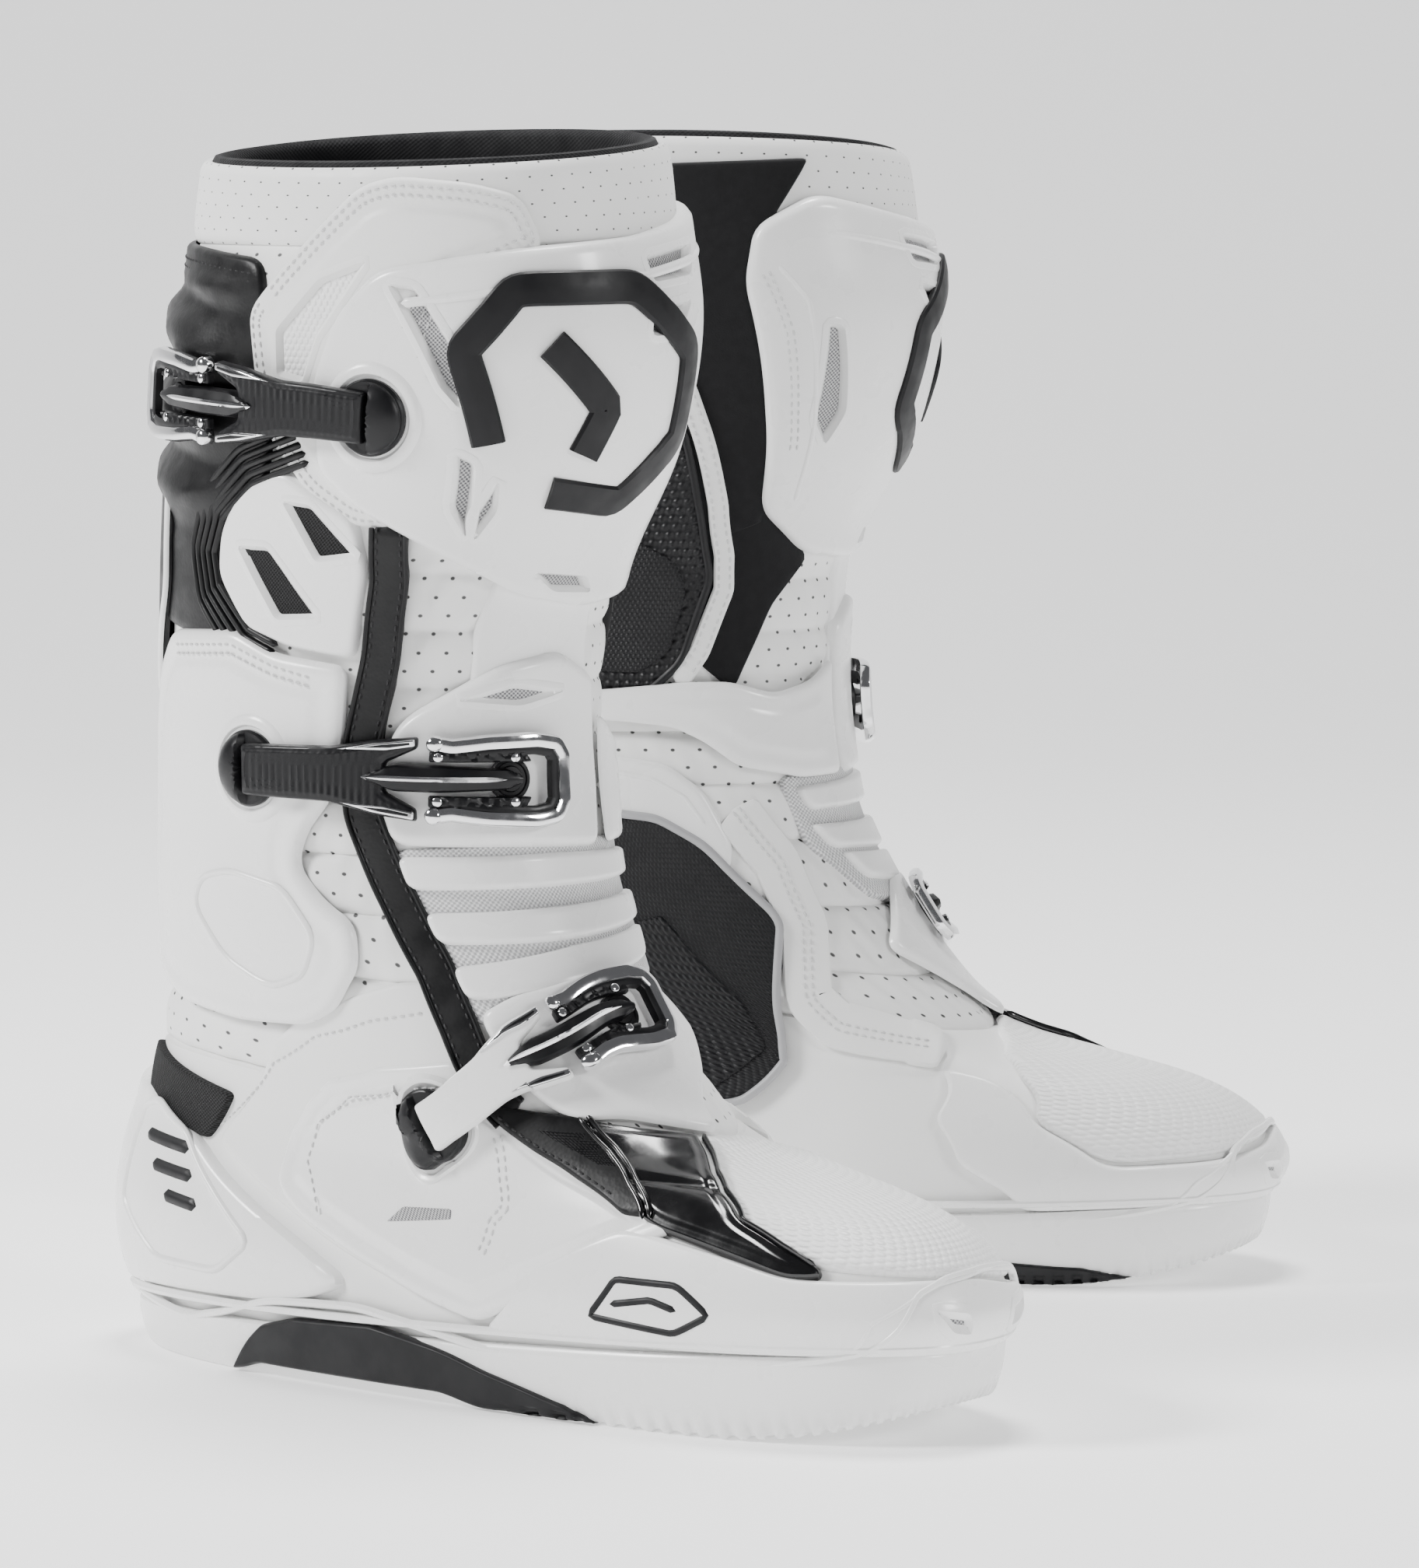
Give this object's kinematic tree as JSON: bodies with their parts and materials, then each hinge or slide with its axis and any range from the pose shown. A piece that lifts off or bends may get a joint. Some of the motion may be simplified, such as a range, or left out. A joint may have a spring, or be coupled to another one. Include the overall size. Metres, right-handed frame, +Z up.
{
  "type": "motorcycle riding boots",
  "caption": "Pair of tall armoured riding boots with a flexing ankle, hinged cuff armour and straps closed by flip-over buckle frames.",
  "frame": {"origin": "middle of the pair's bounding box, on the floor", "axes": "+Z up; toes towards -Y, each boot turned outwards; right boot at -X, left boot at +X and a little further back"},
  "size_m": [0.4002, 0.3714, 0.399],
  "materials": {
    "outsole": "matt moulded rubber",
    "foot_upper": "smooth white microfibre leather",
    "bootie_foot": "black lining",
    "ankle_bellows": "perforated padded white leather",
    "shaft": "white microfibre leather",
    "collar": "perforated white leather",
    "bootie_cuff": "black mesh lining",
    "foot_shell": "white moulded polyurethane",
    "heel_counter": "white moulded polyurethane",
    "toe_cap": "white moulded polyurethane",
    "vamp_shield": "glossy black coated leather",
    "medial_guard": "black rubber grip panel",
    "instep_flap": "white moulded flap",
    "shin_plate": "glossy white shin armour",
    "calf_plate": "white moulded calf armour",
    "medial_plate": "white moulded inner armour",
    "rear_gaiter": "black stretch panel",
    "buckle_flap": "white moulded flap",
    "flex_plate": "ribbed white flex panel",
    "strap": "black ridged strap",
    "instep_strap": "white ridged strap",
    "post": "black domed strap post",
    "lever": "polished buckle frame",
    "catch": "black ridged catch"
  },
  "bodies": {
    "right_foot": {"right_outsole": "outsole", "right_foot_upper": "foot_upper", "right_bootie_foot": "bootie_foot", "right_ankle_bellows": "ankle_bellows", "right_foot_shell": "foot_shell", "right_heel_counter": "heel_counter", "right_toe_cap": "toe_cap", "right_vamp_shield": "vamp_shield", "right_medial_guard": "medial_guard", "right_instep_flap": "instep_flap", "right_instep_post": "post", "right_instep_catch": "catch"},
    "right_cuff": {"right_shaft": "shaft", "right_collar": "collar", "right_bootie_cuff": "bootie_cuff", "right_shin_plate": "shin_plate", "right_calf_plate": "calf_plate", "right_medial_plate": "medial_plate", "right_rear_gaiter": "rear_gaiter", "right_buckle_flap": "buckle_flap", "right_flex_plate": "flex_plate", "right_calf_post": "post", "right_ankle_post": "post", "right_ankle_catch": "catch"},
    "right_calf_strap": {"right_calf_strap": "strap"},
    "right_calf_lever": {"right_calf_lever": "lever"},
    "right_ankle_strap": {"right_ankle_strap": "strap"},
    "right_ankle_lever": {"right_ankle_lever": "lever"},
    "right_instep_strap": {"right_instep_strap": "instep_strap"},
    "right_instep_lever": {"right_instep_lever": "lever"},
    "left_foot": {"left_outsole": "outsole", "left_foot_upper": "foot_upper", "left_bootie_foot": "bootie_foot", "left_ankle_bellows": "ankle_bellows", "left_foot_shell": "foot_shell", "left_heel_counter": "heel_counter", "left_toe_cap": "toe_cap", "left_vamp_shield": "vamp_shield", "left_medial_guard": "medial_guard", "left_instep_flap": "instep_flap", "left_instep_post": "post", "left_instep_catch": "catch"},
    "left_cuff": {"left_shaft": "shaft", "left_collar": "collar", "left_bootie_cuff": "bootie_cuff", "left_shin_plate": "shin_plate", "left_calf_plate": "calf_plate", "left_medial_plate": "medial_plate", "left_rear_gaiter": "rear_gaiter", "left_buckle_flap": "buckle_flap", "left_flex_plate": "flex_plate", "left_calf_post": "post", "left_ankle_post": "post", "left_ankle_catch": "catch"},
    "left_calf_strap": {"left_calf_strap": "strap"},
    "left_calf_lever": {"left_calf_lever": "lever"},
    "left_ankle_strap": {"left_ankle_strap": "strap"},
    "left_ankle_lever": {"left_ankle_lever": "lever"},
    "left_instep_strap": {"left_instep_strap": "instep_strap"},
    "left_instep_lever": {"left_instep_lever": "lever"}
  },
  "joints": [
    {"name": "right_ankle_flex", "type": "hinge", "parent": "right_foot", "child": "right_cuff", "pos_m": [-0.11653, 0.05936, 0.152], "axis": [0.9848, -0.1736, 0], "range_deg": [-8, 18], "stiffness_Nm_per_rad": 30, "deforming": ["right_ankle_bellows", "right_flex_plate"]},
    {"name": "right_calf_strap_swing", "type": "hinge", "parent": "right_cuff", "child": "right_calf_strap", "pos_m": [-0.19437, 0.01717, 0.30902], "axis": [-0.0945, -0.0835, 0.992], "range_deg": [0, 40]},
    {"name": "right_calf_lever_flip", "type": "hinge", "parent": "right_calf_strap", "child": "right_calf_lever", "pos_m": [-0.18129, 0.07976, 0.31327], "axis": [-0.0324, -0.0141, 0.9994], "range_deg": [0, 75]},
    {"name": "right_ankle_strap_swing", "type": "hinge", "parent": "right_cuff", "child": "right_ankle_strap", "pos_m": [-0.17885, 0.07148, 0.19707], "axis": [0.0147, -0.0114, -0.9998], "range_deg": [0, 40]},
    {"name": "right_ankle_lever_flip", "type": "hinge", "parent": "right_ankle_strap", "child": "right_ankle_lever", "pos_m": [-0.17566, 0.00366, 0.19644], "axis": [-0.0396, 0.053, -0.9978], "range_deg": [0, 75]},
    {"name": "right_instep_strap_swing", "type": "hinge", "parent": "right_foot", "child": "right_instep_strap", "pos_m": [-0.186, 0.00205, 0.08681], "axis": [-0.0555, -0.5368, -0.8419], "range_deg": [0, 40]},
    {"name": "right_instep_lever_flip", "type": "hinge", "parent": "right_instep_strap", "child": "right_instep_lever", "pos_m": [-0.1693, -0.04105, 0.11792], "axis": [0.0273, -0.6637, -0.7475], "range_deg": [0, 75]},
    {"name": "left_ankle_flex", "type": "hinge", "parent": "left_foot", "child": "left_cuff", "pos_m": [0.11653, 0.08936, 0.152], "axis": [0.9848, 0.1736, 0], "range_deg": [-8, 18], "stiffness_Nm_per_rad": 30, "deforming": ["left_ankle_bellows", "left_flex_plate"]},
    {"name": "left_calf_strap_swing", "type": "hinge", "parent": "left_cuff", "child": "left_calf_strap", "pos_m": [0.19437, 0.04717, 0.30902], "axis": [-0.0945, 0.0835, -0.992], "range_deg": [0, 40]},
    {"name": "left_calf_lever_flip", "type": "hinge", "parent": "left_calf_strap", "child": "left_calf_lever", "pos_m": [0.18129, 0.10976, 0.31327], "axis": [-0.0324, 0.0141, -0.9994], "range_deg": [0, 75]},
    {"name": "left_ankle_strap_swing", "type": "hinge", "parent": "left_cuff", "child": "left_ankle_strap", "pos_m": [0.17885, 0.10148, 0.19707], "axis": [0.0147, 0.0114, 0.9998], "range_deg": [0, 40]},
    {"name": "left_ankle_lever_flip", "type": "hinge", "parent": "left_ankle_strap", "child": "left_ankle_lever", "pos_m": [0.17566, 0.03366, 0.19644], "axis": [-0.0396, -0.053, 0.9978], "range_deg": [0, 75]},
    {"name": "left_instep_strap_swing", "type": "hinge", "parent": "left_foot", "child": "left_instep_strap", "pos_m": [0.186, 0.03205, 0.08681], "axis": [-0.0555, 0.5368, 0.8419], "range_deg": [0, 40]},
    {"name": "left_instep_lever_flip", "type": "hinge", "parent": "left_instep_strap", "child": "left_instep_lever", "pos_m": [0.1693, -0.01105, 0.11792], "axis": [0.0273, 0.6637, 0.7475], "range_deg": [0, 75]},
    {"name": "left_boot_lift", "type": "slide", "parent": "right_foot", "child": "left_foot", "axis": [0, 0, 1], "range_m": [0, 0.4]}
  ]
}
